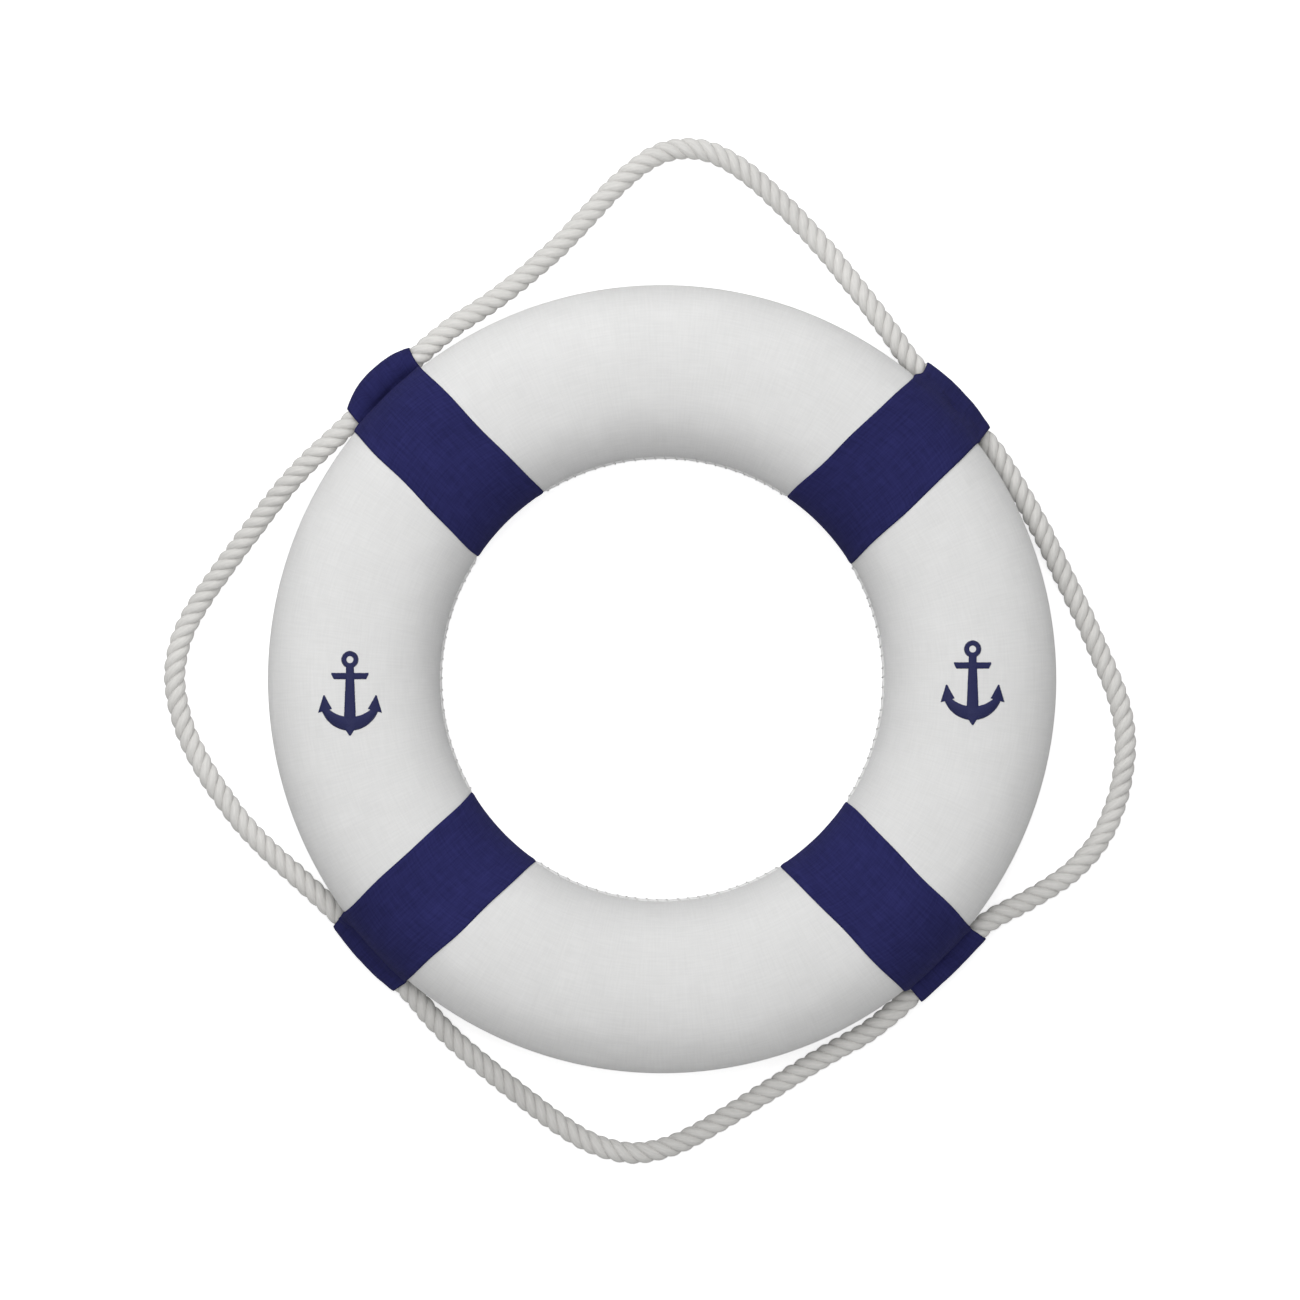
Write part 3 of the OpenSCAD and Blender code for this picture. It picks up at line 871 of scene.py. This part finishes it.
def anchor_threads(pitch):
    """Satin stitches of a plain admiralty anchor, in hundredths of its height."""
    eye = (0, 40)
    ring = ribbon(arc(eye, 4.4, -90, 270), arc(eye, 10.0, -90, 270), pitch)
    stock = ribbon(
        [(-22.5, 24), (-19, 24), (19, 24), (22.5, 24)],
        [(-22.4, 23.9), (-19, 17), (19, 17), (22.4, 23.9)],
        pitch,
    )
    shank = ribbon([(-4.3, 33), (-7.2, -37)], [(4.3, 33), (7.2, -37)], pitch)
    point = ribbon([(-8, -39), (-0.3, -50)], [(8, -39), (0.3, -50)], pitch)
    runs = [ring, stock, shank, point]
    for side in (-1, 1):
        inner = arc((0, 11.2), 39.2, 270, 270 + side * 38)
        outer = arc((0, -8.8), 35.2, 270, 270 + side * 73)
        tip, barb, hook = (side * 31, -1.5), (side * 21.5, -18), (side * 37.5, -22.5)
        arm = ribbon(inner, outer, pitch)
        fluke = ribbon([tip, barb], [tip, hook], pitch)
        runs += [arm, fluke]
    return runs


def build_anchor(name, x, y, panel):
    """Satin-stitch embroidery that follows a panel: every stitch is its own thread."""
    surface = BVHTree.FromObject(panel, bpy.context.evaluated_depsgraph_get())
    down = Vector((0, 0, -1))
    low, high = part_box(name)
    scale = (high[1] - low[1]) / 100
    pitch, shortest, uneven = 0.40 * MM, 0.5 * MM, 0.12
    s = np.linspace(0, 1, 9)[:, None]
    lines = []
    rng = np.random.default_rng(8)
    for layer, run in enumerate(anchor_threads(pitch / scale)):
        padding = (0.26 + 0.03 * (layer % 3)) * MM
        rise = 0.02 * MM + padding * np.sin(math.pi * s[:, 0]) ** 0.55
        for a, b in run:
            a, b = a * scale, b * scale
            length = np.linalg.norm(b - a)
            if length < shortest:
                continue
            a = a - (b - a) / length * rng.uniform(0, uneven) * MM
            b = b + (b - a) / length * rng.uniform(0, uneven) * MM
            flat = a + (b - a) * s
            line = []
            for (u, v), lift in zip(flat, rise, strict=True):
                spot, normal, _, _ = surface.ray_cast(Vector((x + u, y + v, 1)), down)
                line.append(spot + normal * lift)
            lines.append(line)
    stitches = join_tubes(name + "_stitches", lines, 0.25 * MM, 6)
    dress(stitches, EMBROIDERY)
    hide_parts(name)
    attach(stitches, "root")


# ---- Camera, floor and light ---------------------------------------------------------------------
def build_camera():
    """Straight above, with the picture's top towards +Y."""
    data = bpy.data.cameras.new("camera")
    camera = bpy.data.objects.new("camera", data)
    bpy.context.scene.collection.objects.link(camera)
    view_w, above, sensor_w = 0.742, 6.0, 36
    middle_x, middle_y = -6.9 * MM, 16.6 * MM
    data.sensor_width = sensor_w
    data.lens = sensor_w * (above - MID_Z) / view_w
    data.clip_end = 20
    camera.location = (middle_x, middle_y, above)
    bpy.context.scene.camera = camera


def area_light(name, place, size, power):
    """A square white light that points at the ring."""
    data = bpy.data.lights.new(name, "AREA")
    data.shape = "SQUARE"
    data.size = size
    data.energy = power
    light = bpy.data.objects.new(name, data)
    light.location = place
    towards = Vector((0, 0, MID_Z)) - light.location
    light.rotation_euler = towards.to_track_quat("-Z", "Y").to_euler()
    bpy.context.scene.collection.objects.link(light)


def build_studio():
    """A plain pale floor under two large soft lights, one overhead and one from the top left
    of the picture. The floor glows for the camera only, which makes it look white."""
    half = 6
    corners = [(-half, -half, 0), (half, -half, 0), (half, half, 0), (-half, half, 0)]
    floor = mesh_object("floor", corners, [(0, 1, 2, 3)], smooth=False)
    paper = bpy.data.materials.new("studio_floor")
    paper.use_nodes = True
    shader = paper.node_tree.nodes["Principled BSDF"]
    shader.inputs["Base Color"].default_value = (0.72, 0.72, 0.72, 1)
    shader.inputs["Roughness"].default_value = 0.9
    shader.inputs["Emission Color"].default_value = (1, 1, 1, 1)
    rays = paper.node_tree.nodes.new("ShaderNodeLightPath")
    glow = paper.node_tree.nodes.new("ShaderNodeMapRange")
    glow.inputs["To Min"].default_value = 0.0
    glow.inputs["To Max"].default_value = 0.66
    paper.node_tree.links.new(rays.outputs["Is Camera Ray"], glow.inputs["Value"])
    paper.node_tree.links.new(glow.outputs["Result"], shader.inputs["Emission Strength"])
    dress(floor, paper)
    world = bpy.data.worlds.new("studio")
    world.use_nodes = True
    background = world.node_tree.nodes["Background"]
    background.inputs["Color"].default_value = (1, 1, 1, 1)
    background.inputs["Strength"].default_value = 0.36
    bpy.context.scene.world = world
    bpy.context.scene.view_settings.view_transform = "Standard"
    area_light("key", (-0.9, 2.3, 1.9), 1.6, 31)
    area_light("overhead", (-0.1, 0.3, 3.2), 1.6, 52)


PANELS = (
    ("cover_panel_top", TOP_RIGHT[0], TOP_LEFT[0], 100),
    ("cover_panel_left", TOP_LEFT[0], BOTTOM_LEFT[0], 110),
    ("cover_panel_bottom", BOTTOM_LEFT[0], BOTTOM_RIGHT[0], 120),
    ("cover_panel_right", BOTTOM_RIGHT[0], TOP_RIGHT[0] + 360, 130),
)

build_camera()
build_rope()
panels = {}
for panel_name, panel_start, panel_stop, panel_seed in PANELS:
    panels[panel_name] = build_panel(panel_name, panel_start, panel_stop, panel_seed)
    build_seam(panel_name, panel_start, panel_stop, panel_seed)
TOP, LEFT, BOTTOM, RIGHT = (panel[0] for panel in PANELS)
build_band(
    "band_top_right",
    TOP_RIGHT,
    seed=210,
    bridge=(0.95, 0.9),
    dent=0.4 * MM,
    fullness=3.0 * MM,
    edges=(-25.2, 27.0, -25.5, 24.6),
)
build_band(
    "band_top_left",
    TOP_LEFT,
    seed=220,
    bridge=(0.0, 0.2),
    dent=0,
    fullness=6.2 * MM,
    edges=(-29.5, 20.0, -26.8, 21.5),
)
build_band(
    "band_bottom_left",
    BOTTOM_LEFT,
    seed=230,
    bridge=(0.66, 0.72),
    dent=1.9 * MM,
    fullness=2.2 * MM,
    edges=(-24.6, 26.3, -26.0, 26.8),
)
build_band(
    "band_bottom_right",
    BOTTOM_RIGHT,
    seed=240,
    bridge=(0.4, 0.5),
    dent=2.6 * MM,
    fullness=1.0 * MM,
    edges=(-23.4, 27.8, -23.0, 26.3),
)
build_anchor("anchor_left", -CENTRE_R - 1 * MM, -8 * MM, panels[LEFT])
build_anchor("anchor_right", CENTRE_R, -2 * MM, panels[RIGHT])
dress(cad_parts["foam_core"], FOAM)
dress(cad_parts["rope_end_whipping"], TWINE)
for corner in ("top_right", "top_left", "bottom_left", "bottom_right"):
    dress(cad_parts["sleeve_stitching_" + corner], NAVY_THREAD)
build_studio()
